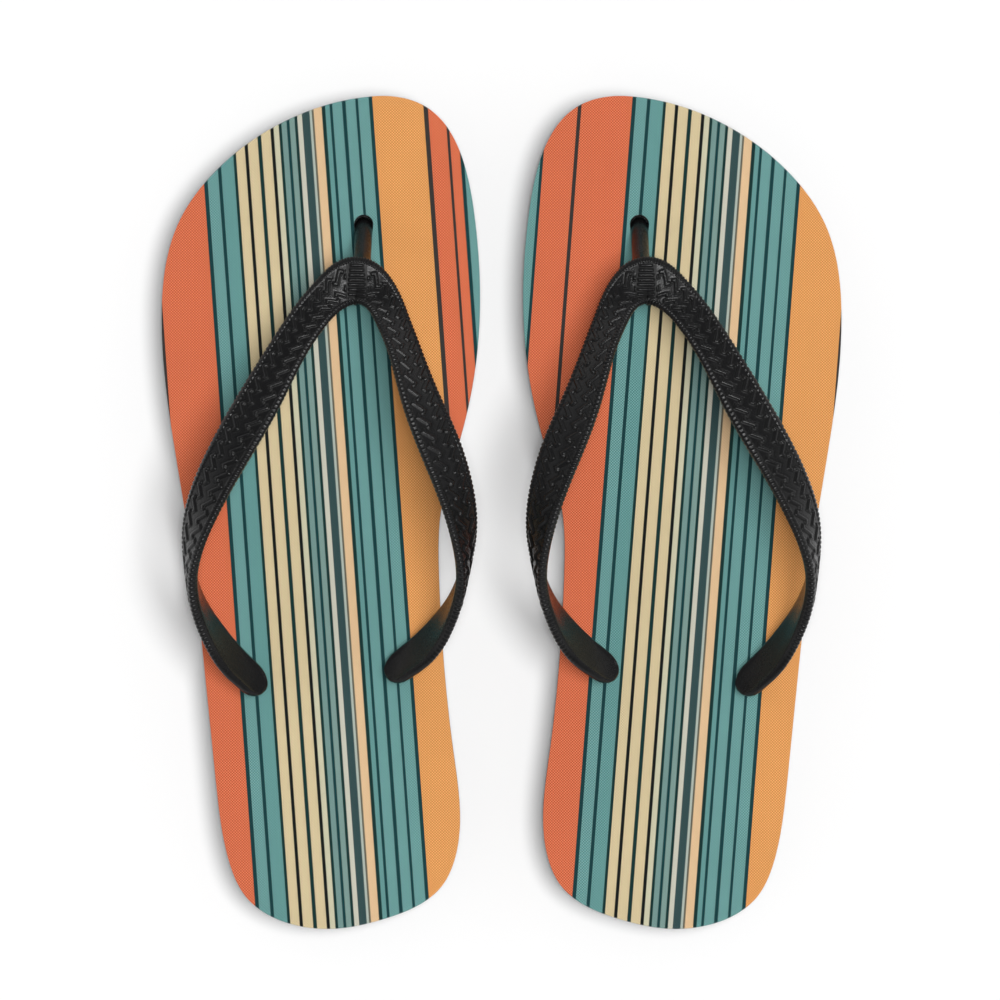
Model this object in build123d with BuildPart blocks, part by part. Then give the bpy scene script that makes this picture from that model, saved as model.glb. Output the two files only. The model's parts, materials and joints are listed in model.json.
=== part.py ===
from build123d import *
import math
import os

os.makedirs("parts", exist_ok=True)

# A pair of thong flip flops, soles on the floor, toes towards +Y.
# Everything is drawn for the right shoe (+X) and mirrored for the left one.

# Driving dimensions, in millimetres
OUTSOLE_T = 3.5
FOOTBED_T = 10.7
TOP_SHEET_T = 0.8
SOLE_T = OUTSOLE_T + FOOTBED_T + TOP_SHEET_T

FLEX_Y = 41.0
FLEX_GAP = 0.3

TREAD_PITCH = 9.0
TREAD_WIDTH = 2.4
TREAD_DEPTH = 1.4

STRAP_T = 3.5
STRAP_EDGE_R = 1.1
POST_R = 2.7
TOE_HOLE_R = 3.1
TOE_HOLE_STRETCH = 3.8
STEM_R = 3.4
STEM_HOLE_R = 3.8
PLUG_R = 8.0
PLUG_T = 1.8
RECESS_R = 8.8
RECESS_T = 3.0
PLUG_Z = 0.8

TOE_HOLE = (44.7, 93.4)
SIDE_STEMS = [(79.6, -55.4), (34.2, -51.3)]

# Sole outline, clockwise from the toe: outer side, heel, waist, ball of the foot
SOLE_OUTLINE = [
    (40.4, 135.0), (94.2, 109.1), (104.9, 93.5), (110.2, 62.4), (102.6, 0.2), (92.4, -89.3),
    (88.5, -112.6), (83.1, -124.3), (57.0, -135.0), (39.2, -132.1), (18.8, -120.4), (15.2, -112.6),
    (15.6, -77.6), (20.3, -20.3), (19.6, 0.8), (13.5, 23.5), (8.4, 93.5), (26.1, 132.4),
]

# Strap arms from the toe junction back to the side anchors. Each station is the middle of the
# band (x, y, z above the floor), its roll in degrees (0 lies flat, 90 stands on edge) and its width.
OUTER_ARM = [
    (46.8, 74.8, 31.0, 0, 15.4), (54.6, 71.2, 31.6, 6, 12.8), (61.6, 63.6, 33.6, 14, 11.8),
    (67.7, 54.6, 36.4, 18, 12.0), (78.0, 36.5, 41.0, 24, 14.0), (86.9, 20.9, 43.4, 32, 14.6),
    (94.8, 5.3, 43.0, 48, 14.6), (99.6, -10.2, 39.8, 73, 14.4), (100.1, -20.6, 36.0, 89, 14.0),
    (97.2, -31.0, 31.4, 104, 13.6), (91.3, -41.3, 26.2, 122, 13.0), (85.2, -49.6, 22.2, 134, 12.4),
    (80.6, -54.6, 20.3, 140, 10.8), (77.8, -57.8, 19.0, 144, 6.4),
]
INNER_ARM = [
    (46.8, 74.8, 31.0, 0, 15.4), (40.0, 70.6, 31.8, 16, 12.6), (35.8, 63.0, 34.4, 32, 11.8),
    (32.3, 54.6, 38.4, 42, 12.0), (26.1, 36.5, 45.0, 40, 14.0), (19.9, 20.9, 48.2, 36, 14.6),
    (14.6, 5.3, 47.4, 50, 14.6), (12.1, -10.2, 43.0, 73, 14.4), (12.7, -20.6, 38.4, 89, 14.0),
    (16.5, -31.0, 32.6, 104, 13.6), (22.2, -38.9, 27.0, 120, 13.0), (28.6, -46.2, 22.6, 132, 12.4),
    (33.4, -50.6, 20.3, 140, 10.8), (36.4, -53.2, 19.0, 144, 6.4),
]


def sole_layer(bottom, thickness, y_from, y_to):
    """One slab of the sole, cut to the stretch between two cross lines and drilled for the strap."""
    with BuildPart() as layer:
        with BuildSketch(Plane.XY.offset(bottom)):
            with BuildLine():
                Spline(*SOLE_OUTLINE, periodic=True)
            make_face()
            middle = (y_from + y_to) / 2
            with Locations((60, middle)):
                Rectangle(160, y_to - y_from, mode=Mode.INTERSECT)
        extrude(amount=thickness)
        with BuildSketch(Plane.XY.offset(bottom)):
            with Locations((TOE_HOLE[0], TOE_HOLE[1] - TOE_HOLE_STRETCH / 2)):
                SlotCenterToCenter(TOE_HOLE_STRETCH, 2 * TOE_HOLE_R, rotation=90)
            with Locations(*SIDE_STEMS):
                Circle(STEM_HOLE_R)
        extrude(amount=thickness, mode=Mode.SUBTRACT)
    return layer.part


def add_tread(slab, y_from, y_to):
    """Cut the cross grooves and the plug recesses into the underside of an outsole half."""
    rows = [FLEX_Y + TREAD_PITCH * (n + 0.5) for n in range(-30, 30)]
    rows = [y for y in rows if y_from + 4 < y < y_to - 4]
    with BuildPart() as outsole:
        add(slab)
        with BuildSketch(Plane.XY):
            with Locations(*[(60, y) for y in rows]):
                Rectangle(160, TREAD_WIDTH)
        extrude(amount=TREAD_DEPTH, mode=Mode.SUBTRACT)
        with BuildSketch(Plane.XY):
            with Locations(TOE_HOLE, *SIDE_STEMS):
                Circle(RECESS_R)
        extrude(amount=RECESS_T, mode=Mode.SUBTRACT)
    return outsole.part


def band_plane(stations, index):
    """Section plane of the band at one station: local X across the band, local Z along it."""
    here = Vector(*stations[index][:3])
    before = Vector(*stations[max(index - 1, 0)][:3])
    after = Vector(*stations[min(index + 1, len(stations) - 1)][:3])
    along = (after - before).normalized()
    if index == 0:
        along = Vector(math.copysign(1, along.X), 0, 0)
    outward = along.cross(Vector(0, 0, 1)).normalized()
    if outward.Y < 0 and index == 0:
        outward = outward * -1
    if (outward.X > 0) != (stations[-1][0] > stations[0][0]) and index > 0:
        outward = outward * -1
    lift = outward.cross(along)
    if lift.Z < 0:
        lift = lift * -1
    roll = math.radians(stations[index][3])
    across = outward * math.cos(roll) - lift * math.sin(roll)
    return Plane(origin=here, x_dir=across, z_dir=along)


def strap_arm(stations):
    """One arm of the strap: a rubber band that rolls from flat, over the instep, to its side anchor."""
    with BuildPart() as arm:
        for index, station in enumerate(stations):
            with BuildSketch(band_plane(stations, index)):
                RectangleRounded(station[4], STRAP_T, STRAP_EDGE_R)
        loft()
    return arm.part


def toe_post():
    """Round post that leans back from the toe hole to the front edge of the junction."""
    with BuildPart() as post:
        x, y = TOE_HOLE
        with BuildLine():
            FilletPolyline(
                (x, y - 0.3, PLUG_Z + 1), (x, y - 0.3, SOLE_T - 3), (x + 0.5, y - 14.0, 29.0),
                radius=9,
            )
        with BuildSketch(Plane.XY.offset(PLUG_Z + 1)):
            with Locations((x, y - 0.3)):
                Circle(POST_R)
        sweep()
    return post.part


def strap():
    """The whole moulded strap: two arms, toe post, three stems and their plug heads."""
    with BuildPart() as whole:
        add(strap_arm(OUTER_ARM))
        add(strap_arm(INNER_ARM))
        add(toe_post())
        with BuildSketch(Plane.XY.offset(PLUG_Z)):
            with Locations(*SIDE_STEMS):
                Circle(STEM_R)
        extrude(amount=SOLE_T + 4.4 - PLUG_Z)
        with BuildSketch(Plane.XY.offset(PLUG_Z)):
            with Locations(TOE_HOLE, *SIDE_STEMS):
                Circle(PLUG_R)
        extrude(amount=PLUG_T)
    return whole.part


def export_pair(shape, name):
    """Write the right-hand piece and its mirror image for the left shoe."""
    with BuildPart() as right:
        add(shape)
    right.part.label = "right_" + name
    export_step(right.part, "parts/right_" + name + ".step")
    with BuildPart() as left:
        mirror(shape, about=Plane.YZ)
    left.part.label = "left_" + name
    export_step(left.part, "parts/left_" + name + ".step")


FRONT = (FLEX_Y + FLEX_GAP / 2, 140.0)
REAR = (-140.0, FLEX_Y - FLEX_GAP / 2)

for end, (y_from, y_to) in {"front": FRONT, "rear": REAR}.items():
    outsole_slab = sole_layer(0, OUTSOLE_T, y_from, y_to)
    export_pair(add_tread(outsole_slab, y_from, y_to), "outsole_" + end)
    export_pair(sole_layer(OUTSOLE_T, FOOTBED_T, y_from, y_to), "footbed_" + end)
    export_pair(sole_layer(OUTSOLE_T + FOOTBED_T, TOP_SHEET_T, y_from, y_to), "top_sheet_" + end)

export_pair(strap(), "strap")
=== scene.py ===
import json
import math

import bpy
import numpy as np
from bpy.props import FloatProperty, FloatVectorProperty, IntProperty, PointerProperty
from mathutils import Matrix, Vector


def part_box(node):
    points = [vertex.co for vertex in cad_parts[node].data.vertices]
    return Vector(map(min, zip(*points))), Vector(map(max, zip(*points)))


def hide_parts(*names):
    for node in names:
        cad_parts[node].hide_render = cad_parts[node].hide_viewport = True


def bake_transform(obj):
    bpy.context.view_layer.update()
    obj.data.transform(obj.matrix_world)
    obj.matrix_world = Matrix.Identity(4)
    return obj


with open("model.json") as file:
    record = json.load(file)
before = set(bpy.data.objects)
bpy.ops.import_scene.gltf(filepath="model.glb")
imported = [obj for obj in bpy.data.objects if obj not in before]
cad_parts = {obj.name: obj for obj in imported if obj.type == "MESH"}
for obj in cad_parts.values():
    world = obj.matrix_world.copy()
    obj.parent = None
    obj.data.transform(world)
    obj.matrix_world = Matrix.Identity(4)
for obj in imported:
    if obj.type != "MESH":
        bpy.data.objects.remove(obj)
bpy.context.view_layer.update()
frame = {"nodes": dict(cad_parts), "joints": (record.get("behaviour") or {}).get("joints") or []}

bl_info = {
    "name": "Striped Flip Flops",
    "version": (1, 0, 0),
    "blender": (4, 5, 0),
    "location": "View3D > Sidebar > Flip Flops",
    "description": "A pair of thong flip flops with striped fabric soles and embossed rubber straps",
    "category": "Add Mesh",
}

MM = 0.001

# Heights of the sole's layers, read from the frame
OUTSOLE_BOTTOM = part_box("right_outsole_front")[0][2]
FOOTBED_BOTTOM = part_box("right_footbed_front")[0][2]
SHEET_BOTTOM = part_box("right_top_sheet_front")[0][2]
SHEET_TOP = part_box("right_top_sheet_front")[1][2]

# The sole bends from the ball of the foot back to the middle of the arch
FLEX_LINE = next(j["pos_m"][1] for j in frame["joints"] if j["name"] == "right_sole_flex")
FLEX_LENGTH = 60 * MM
FLEX_CUTS = 24
SOLE_MIDDLE_X = 60 * MM

# Where the strap goes through the right sole, and the sizes of its holes, in millimetres
TOE_HOLE = (44.7, 93.4)
TOE_HOLE_RADIUS = 3.1
TOE_HOLE_STRETCH = 3.8
SLOT_NARROWING = 0.86
SIDE_STEMS = ((79.6, -55.4), (34.2, -51.3))
SIDE_HOLE_RADIUS = 3.8
RECESS_RADIUS = 8.8
RECESS_DEPTH = 3.0

# The right strap as one band, from its inner anchor over the toe junction to its outer anchor.
# Each station is the middle of the band (x, y, z), its roll in degrees and its width, in millimetres.
# The roll is 0 where the band lies flat, 90 where it stands on edge, and is counted outwards.
INNER_ARM = [
    (36.9, -53.7, 18.9, 144, 11.4), (33.4, -50.6, 20.3, 140, 11.8), (28.2, -46.7, 22.6, 132, 13.8),
    (21.5, -39.5, 27.0, 122, 14.8), (16.2, -31.2, 32.6, 105, 14.4), (12.7, -20.6, 38.4, 88, 14.2),
    (12.1, -10.2, 43.0, 68, 15.0), (14.7, 5.3, 47.4, 45, 14.8), (20.0, 20.9, 48.2, 32, 14.8),
    (26.2, 36.5, 45.0, 36, 14.2), (32.4, 54.6, 38.4, 39, 12.2), (35.8, 63.0, 34.4, 32, 11.8),
    (40.0, 70.6, 31.8, 16, 12.6),
]
JUNCTION = [(46.8, 74.8, 31.0, 0, 15.4)]
OUTER_ARM = [
    (54.6, 71.2, 31.6, 6, 12.8), (61.6, 63.6, 33.6, 14, 11.8), (67.7, 54.6, 36.4, 18, 12.0),
    (77.9, 36.5, 41.0, 22, 14.1), (86.8, 20.9, 43.4, 29, 14.7), (94.7, 5.3, 43.0, 43, 14.8),
    (99.6, -10.2, 39.8, 68, 15.0), (100.1, -20.6, 36.0, 88, 14.2), (97.4, -31.2, 31.4, 105, 14.2),
    (91.7, -41.6, 26.2, 122, 14.2), (85.4, -50.0, 22.2, 133, 13.4), (80.6, -54.6, 20.3, 140, 11.8),
    (77.3, -58.3, 18.9, 144, 11.4),
]

# The round parts below the band, as (x, y, z, radius) in millimetres, x and y counted from the hole
TOE_POST = [
    (0, -0.3, 1.6, 2.9), (0, -0.3, 5, 2.8), (0, -0.3, 9, 2.8), (0, -1.2, 13, 2.85),
    (0.1, -4.6, 17.6, 2.85), (0.25, -8.6, 22.5, 2.8), (0.45, -12, 26.7, 3), (0.6, -13.8, 28.9, 3.5),
]
SIDE_STEM = [(0, 0, 1.6, 3.5), (0, 0, 6, 3.4), (0, 0, 12, 3.3), (0, 0, 15.2, 3.1)]
SIDE_STEM_TOPS = ((0.55, 0.75, 18.2, 2.6), (-0.6, 0.65, 18.2, 2.6))
# Half of a plug head's section, as (radius, height) in millimetres
PLUG_PROFILE = [
    (0.01, 2.6), (7.4, 2.6), (7.9, 2.3), (8.0, 1.8), (7.8, 1.2), (7.3, 0.9), (5.6, 0.85),
    (5.3, 1.15), (4.5, 1.15), (4.2, 0.85), (2.2, 0.8), (0.01, 0.8),
]

# Millimetres from an arm's end over which it rounds off, is blunted and thins, and by what share
TIP_LENGTH = 6.6
BLUNT_LENGTH = 1.3
THINNING_LENGTH = 34
THINNING = 0.24
# How far from an arm's end the tapered edges and the embossing start, and fade in over
TAPER_FADE = (9, 12)
EMBOSSING_FADE = (14, 12)
# How far the band's section lies below the line of its stations, in millimetres
SECTION_DROP = 0.3
# How the mesh rows, the beads and the bars crowd at the junction: a share, and a reach in millimetres
ROW_CROWDING = (2.2, 9)
BEAD_CROWDING = (0.38, 24)
BAR_CROWDING = (0.33, 26)
# Shares of the band's half width where the embossed field ends and the beaded rim starts
FIELD_EDGE = 0.75
RIM_EDGE = 0.76
# Half width that the hooked bars are drawn for, and the width of their sloping sides, in millimetres
BAR_FIELD = 7.3
BAR_SLOPE = 0.3
# The groove round a bar: its distance and half width in millimetres, and its share of a bar's height
GROOVE_DISTANCE = 0.2
GROOVE_HALF_WIDTH = 0.22
GROOVE_DEPTH = 0.3
# The ladder at the junction, in millimetres: spacing of its rungs, their half width, and its room
RUNG_PITCH = 1.57
RUNG_REACH = 2.9
LADDER_HALF_WIDTH = 3.4
LADDER_HALF_LENGTH = 9

# One hooked bar of the embossing: its arm and its two hooks, as boxes along and across the bar
BAR_BOXES = ((-0.4, 5.1, 1.15, 2.25), (-0.4, 0.7, 1.15, 3.1), (4.0, 5.1, 0.3, 2.25))

# The print, from left to right, as (colour, width in millimetres). The first list ends, and the
# second one starts, at the seam between the wide orange stripe and the first teal stripe.
STRIPES_LEFT_OF_SEAM = [
    ("teal", 32.0), ("dark_teal", 1.0), ("orange", 9.8), ("charcoal", 1.2), ("orange", 16.5),
]
STRIPES_MIDDLE = [
    ("dark_teal", 1.2), ("teal", 3.6), ("dark_teal", 1.05), ("deep_teal", 4.2), ("dark_green", 1.0),
    ("sand", 2.95), ("black", 1.05), ("sand", 3.3), ("dark_green", 1.2), ("sand", 3.1),
    ("black", 1.05), ("pale_sand", 1.7), ("dark_green", 0.95), ("sage", 1.8), ("dark_teal", 0.9),
    ("pale_sage", 1.75), ("dark_green", 0.95), ("off_white", 1.5), ("slate", 2.55), ("cloud", 0.75),
    ("brown", 0.5), ("peach", 2.8),
]
STRIPES_RIGHT = [
    ("dark_green", 1.05), ("deep_teal", 1.3), ("dark_teal", 0.95), ("teal", 3.25), ("dark_teal", 1.05),
    ("teal", 3.3), ("dark_teal", 1.0), ("teal", 3.45), ("dark_teal", 1.1), ("amber", 16.55),
    ("charcoal", 1.2), ("orange", 5.6), ("charcoal", 1.0), ("orange", 3.0), ("dark_teal", 1.0),
    ("teal", 30.0),
]
# Where the seam crosses Y = 0, in millimetres, and how far it leans per unit of length
SEAM_AT = {"left": -88.9, "right": 32.3}
SEAM_LEAN = {"left": -0.0709, "right": 0.0755}

# Where the camera stands above the pair
CAMERA_PLACE = (-0.0005, 0.00405)
DISPLAY_GAMMA = 2.2
# The attribute that says how deep in a hollow of the embossing a point of the strap lies, for the
# painted shade and the duller rubber there
HOLLOW_SHADE = "strap_hollow_shade"


def from_srgb(red, green, blue):
    """Scene-linear colour of an sRGB colour given from 0 to 255."""
    values = [value / 255 for value in (red, green, blue)]
    return tuple(v / 12.92 if v <= 0.04045 else ((v + 0.055) / 1.055) ** 2.4 for v in values)


def colour_property(name, description, *srgb):
    """A colour picker that starts at an sRGB colour."""
    return FloatVectorProperty(
        name=name, description=description, subtype="COLOR", size=3, min=0, max=1,
        default=from_srgb(*srgb),
    )


def length_property(name, description, metres, **limits):
    """A length in metres."""
    return FloatProperty(name=name, description=description, default=metres, unit="LENGTH", **limits)


class PrintSettings(bpy.types.PropertyGroup):
    """Colours of the printed stripes and the weave that carries them."""
    orange: colour_property("Orange", "Wide burnt orange stripes", 210, 106, 69)
    amber: colour_property("Amber", "Wide light orange stripe", 219, 151, 85)
    teal: colour_property("Teal", "Main teal stripes", 100, 149, 146)
    deep_teal: colour_property("Deep teal", "Slightly darker teal stripes", 94, 145, 142)
    sand: colour_property("Sand", "Cream stripes", 209, 191, 151)
    pale_sand: colour_property("Pale sand", "Narrow pale cream stripe", 199, 195, 166)
    sage: colour_property("Sage", "Grey green stripe", 110, 143, 138)
    pale_sage: colour_property("Pale sage", "Lighter grey green stripe", 119, 148, 141)
    off_white: colour_property("Off white", "Narrow off white stripe", 196, 194, 178)
    slate: colour_property("Slate", "Dark slate stripe", 46, 71, 72)
    cloud: colour_property("Cloud", "Hairline of cool white", 168, 178, 168)
    brown: colour_property("Brown", "Hairline of brown", 100, 95, 80)
    peach: colour_property("Peach", "Pale peach stripe", 219, 185, 143)
    dark_teal: colour_property("Dark teal", "Lines between teal stripes", 6, 55, 58)
    dark_green: colour_property("Dark green", "Lines between cream stripes", 6, 45, 43)
    black: colour_property("Black", "Darkest lines", 8, 14, 11)
    charcoal: colour_property("Charcoal", "Lines in the orange", 50, 46, 44)
    thread: length_property("Thread", "Spacing of the weave's threads", 0.00045, min=0.0001)
    edge_round: length_property("Edge", "Rounding of the cut edge", 0.00022, min=0)


class SoleSettings(bpy.types.PropertyGroup):
    """Foam footbed and rubber outsole."""
    foam: colour_property("Foam", "Black foam", 38, 38, 40)
    rubber: colour_property("Rubber", "Outsole rubber", 31, 31, 33)
    foam_edge: length_property("Foam edge", "Rounding of the foam's edges", 0.00035, min=0)
    rubber_edge: length_property("Rubber edge", "Rounding of the outsole's edges", 0.00018, min=0)
    groove_pitch: length_property("Groove pitch", "Spacing of the cross grooves", 0.009, min=0.003)
    groove_width: length_property("Groove width", "Width of a groove", 0.0024, min=0.0005)
    groove_depth: length_property("Groove depth", "Depth of a groove", 0.0014, min=0.0002, max=0.002)
    wave_height: length_property("Wave", "Half height of a groove's waves", 0.0011, min=0, max=0.002)
    wave_length: length_property("Wave length", "Length of one wave", 0.0125, min=0.005)


class StrapSettings(bpy.types.PropertyGroup):
    """Moulded rubber strap."""
    rubber: colour_property("Rubber", "Strap rubber", 20, 20, 21)
    thickness: length_property("Thickness", "Thickness of the band", 0.0034, min=0.001)
    crown: length_property("Crown", "How far the outer face swells", 0.0004, min=0)
    dish: length_property("Dish", "How far the inner face is hollowed between its lips", 0.0003, min=0)
    edge_round: length_property("Edge", "Rounding of the band's edges", 0.0011, min=0.0002)
    edge_taper: FloatProperty(name="Edge taper", description="Share of its thickness an edge loses",
                              default=0.34, min=0, max=0.8, subtype="FACTOR")
    bar_height: length_property("Bar height", "Height of the embossed bars", 0.0005, min=0)
    bar_pitch: length_property("Bar pitch", "Spacing of the embossed bars", 0.00485, min=0.001)
    bead_height: length_property("Bead height", "Height of the beads", 0.0005, min=0)
    bead_pitch: length_property("Bead pitch", "Spacing of the edges' beads", 0.00155, min=0.0005)
    step: length_property("Step", "Spacing of the mesh rows along the band", 0.0003, min=0.0001)
    post_sides: IntProperty(name="Post sides", description="Sides of the post and the stems",
                            default=40, min=12)
    plug_sides: IntProperty(name="Plug sides", description="Sides of the plug heads",
                            default=64, min=12)


class StudioSettings(bpy.types.PropertyGroup):
    """Camera, floor and lights."""
    field: length_property("Field", "Width of the camera's view at the soles' tops", 0.32413, min=0.1)
    lens: FloatProperty(name="Lens", description="Focal length in millimetres", default=800, min=50)
    side_light: FloatProperty(name="Side light", description="Strength of the light from the right",
                              default=1.9, min=0)
    top_light: FloatProperty(name="Top light", description="Strength of the light from above",
                             default=0.8, min=0)
    sky: FloatProperty(name="Sky", description="Strength of the even surrounding light", default=0.28,
                       min=0)


# ---------------------------------------------------------------- shading helpers

def calc(tree, operation, *values, clamp=False):
    """Add a Math node and return its output; each value is a number or another node's output."""
    node = tree.nodes.new("ShaderNodeMath")
    node.operation = operation
    node.use_clamp = clamp
    for socket, value in zip(node.inputs, values):
        if isinstance(value, (int, float)):
            socket.default_value = value
        else:
            tree.links.new(value, socket)
    return node.outputs[0]


def mix_colour(tree, factor, first, second, blend="MIX"):
    """Add a colour Mix node and return its colour."""
    node = tree.nodes.new("ShaderNodeMix")
    node.data_type = "RGBA"
    node.blend_type = blend
    for socket, value in ((node.inputs[0], factor), (node.inputs[6], first), (node.inputs[7], second)):
        if isinstance(value, (int, float)):
            socket.default_value = value
        elif isinstance(value, bpy.types.NodeSocket):
            tree.links.new(value, socket)
        else:
            socket.default_value = (*value, 1)
    return node.outputs[2]


def place_in_mm(tree):
    """The object's own coordinates, in millimetres."""
    place = tree.nodes.new("ShaderNodeTexCoord")
    scale = tree.nodes.new("ShaderNodeVectorMath")
    scale.operation = "SCALE"
    scale.inputs["Scale"].default_value = 1000
    tree.links.new(place.outputs["Object"], scale.inputs[0])
    return scale.outputs[0]


def axes_of(tree, vector):
    """X, Y and Z of a vector."""
    split = tree.nodes.new("ShaderNodeSeparateXYZ")
    tree.links.new(vector, split.inputs[0])
    return split.outputs


def noise(tree, vector, scale, detail=2.0, roughness=0.5):
    """Add a Noise texture on a vector in millimetres and return its value."""
    node = tree.nodes.new("ShaderNodeTexNoise")
    node.inputs["Scale"].default_value = scale
    node.inputs["Detail"].default_value = detail
    node.inputs["Roughness"].default_value = roughness
    tree.links.new(vector, node.inputs["Vector"])
    return node.outputs[0]


def new_group(name, inputs, outputs):
    """An empty shader node group with named float inputs and named outputs."""
    group = bpy.data.node_groups.new(name, "ShaderNodeTree")
    for label, value in inputs:
        socket = group.interface.new_socket(label, in_out="INPUT", socket_type="NodeSocketFloat")
        socket.default_value = value
    for label, kind in outputs:
        group.interface.new_socket(label, in_out="OUTPUT", socket_type=kind)
    return group, group.nodes.new("NodeGroupInput"), group.nodes.new("NodeGroupOutput")


def use_group(tree, group, **values):
    """Place a node group in a tree, with its inputs set or linked, and return the node."""
    node = tree.nodes.new("ShaderNodeGroup")
    node.node_tree = group
    for label, value in values.items():
        socket = node.inputs[label.replace("_", " ")]
        if isinstance(value, (int, float)):
            socket.default_value = value
        else:
            tree.links.new(value, socket)
    return node


def new_material(name, **constants):
    """A Principled material with its constant sockets set; returns it with its tree and shader."""
    material = bpy.data.materials.new(name)
    material.use_nodes = True
    tree = material.node_tree
    shader = tree.nodes["Principled BSDF"]
    for label, value in constants.items():
        shader.inputs[label.replace("_", " ")].default_value = value
    return material, tree, shader


def shared_group(name, build, *settings):
    """The node group of that name, built when it is first asked for."""
    return bpy.data.node_groups.get(name) or build(name, *settings)


def grey_colour(tree, value):
    """A colour with the same value in all three channels."""
    node = tree.nodes.new("ShaderNodeCombineColor")
    for socket in node.inputs:
        tree.links.new(value, socket)
    return node.outputs[0]


def gamma(tree, colour, power):
    """Add a Gamma node on a colour and return its colour."""
    node = tree.nodes.new("ShaderNodeGamma")
    node.inputs["Gamma"].default_value = power
    tree.links.new(colour, node.inputs["Color"])
    return node.outputs[0]


def add_bump(tree, shader, height, distance, strength=1.0):
    """Feed a height from 0 to 1 into the shader's normal, `distance` metres deep."""
    bump = tree.nodes.new("ShaderNodeBump")
    bump.inputs["Strength"].default_value = strength
    bump.inputs["Distance"].default_value = distance
    tree.links.new(height, bump.inputs["Height"])
    tree.links.new(bump.outputs[0], shader.inputs["Normal"])


# ---------------------------------------------------------------- shared effects

def weave_group(name):
    """Plain weave of fine threads. Height of the threads, and their shade from 0 to 1, which sets the
    painted sheen on the threads and the painted shade between them.
    """
    group, given, result = new_group(
        name, [("Thread", 0.45)], [("Height", "NodeSocketFloat"), ("Shade", "NodeSocketFloat")]
    )
    place = place_in_mm(group)
    x, y = axes_of(group, place)[:2]
    wobble = calc(group, "MULTIPLY", noise(group, place, 0.35), 0.3)
    turn = calc(group, "DIVIDE", math.pi, given.outputs["Thread"])
    warp = calc(group, "SINE", calc(group, "MULTIPLY", calc(group, "ADD", x, wobble), turn))
    weft = calc(group, "SINE", calc(group, "MULTIPLY", calc(group, "SUBTRACT", y, wobble), turn))
    height = calc(group, "MULTIPLY_ADD", calc(group, "MULTIPLY", warp, weft), 0.45, 0.5)
    fuzz = calc(group, "SUBTRACT", noise(group, place, 5.0, 3), 0.5)
    shade = calc(group, "MULTIPLY_ADD", fuzz, 0.5, height, clamp=True)
    group.links.new(height, result.inputs["Height"])
    group.links.new(shade, result.inputs["Shade"])
    return group


def weave_sheen_and_shade_group(name):
    """The printed colour with painted sheen that lightens it on the threads and painted shade that
    darkens it between them, by an even step.
    """
    group, given, result = new_group(
        name, [("Shade", 0.5), ("Contrast", 0.4)], [("Colour", "NodeSocketColor")]
    )
    group.interface.new_socket("Colour", in_out="INPUT", socket_type="NodeSocketColor")
    display = gamma(group, given.outputs["Colour"], 1 / DISPLAY_GAMMA)
    brightness = group.nodes.new("ShaderNodeRGBToBW")
    group.links.new(display, brightness.inputs[0])
    limit = calc(group, "MULTIPLY", brightness.outputs[0], 2.2, clamp=True)
    # Painted light: the display colour steps lighter on the threads as painted sheen and darker between
    # them as painted shade
    step = calc(group, "MULTIPLY", calc(group, "SUBTRACT", given.outputs["Shade"], 0.5), limit)
    step = calc(group, "MULTIPLY", step, given.outputs["Contrast"])
    lit = mix_colour(group, 1.0, display, grey_colour(group, step), "ADD")
    group.links.new(gamma(group, lit, DISPLAY_GAMMA), result.inputs["Colour"])
    return group


def stripe_ramp(tree, across, start, stripes, settings):
    """A colour ramp with one hard-edged stop for each stripe, from `start` millimetres on."""
    length = sum(width for colour, width in stripes)
    position = calc(tree, "DIVIDE", calc(tree, "SUBTRACT", across, start), length)
    node = tree.nodes.new("ShaderNodeValToRGB")
    node.color_ramp.interpolation = "CONSTANT"
    stops = node.color_ramp.elements
    stops.remove(stops[-1])
    reached = 0.0
    for index, (colour, width) in enumerate(stripes):
        stop = stops[0] if index == 0 else stops.new(reached / length)
        stop.position = reached / length
        stop.color = (*getattr(settings, colour), 1)
        reached += width
    tree.links.new(position, node.inputs[0])
    return node.outputs[0]


def stripes_group(name, settings):
    """The printed stripes, measured across from a leaning seam line."""
    group, given, result = new_group(
        name, [("Seam", 0.0), ("Lean", 0.0)], [("Colour", "NodeSocketColor")]
    )
    place = place_in_mm(group)
    x, y = axes_of(group, place)[:2]
    across = calc(group, "SUBTRACT", x, given.outputs["Seam"])
    across = calc(group, "SUBTRACT", across, calc(group, "MULTIPLY", y, given.outputs["Lean"]))
    bleed = calc(group, "SUBTRACT", noise(group, place, 1.6, 3), 0.5)
    across = calc(group, "MULTIPLY_ADD", bleed, 0.12, across)
    left_width = sum(width for colour, width in STRIPES_LEFT_OF_SEAM)
    middle_width = sum(width for colour, width in STRIPES_MIDDLE)
    left = stripe_ramp(group, across, -left_width, STRIPES_LEFT_OF_SEAM, settings)
    middle = stripe_ramp(group, across, 0, STRIPES_MIDDLE, settings)
    right = stripe_ramp(group, across, middle_width, STRIPES_RIGHT, settings)
    colour = mix_colour(group, calc(group, "GREATER_THAN", across, 0), left, middle)
    colour = mix_colour(group, calc(group, "GREATER_THAN", across, middle_width), colour, right)
    group.links.new(colour, result.inputs["Colour"])
    return group


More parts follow.
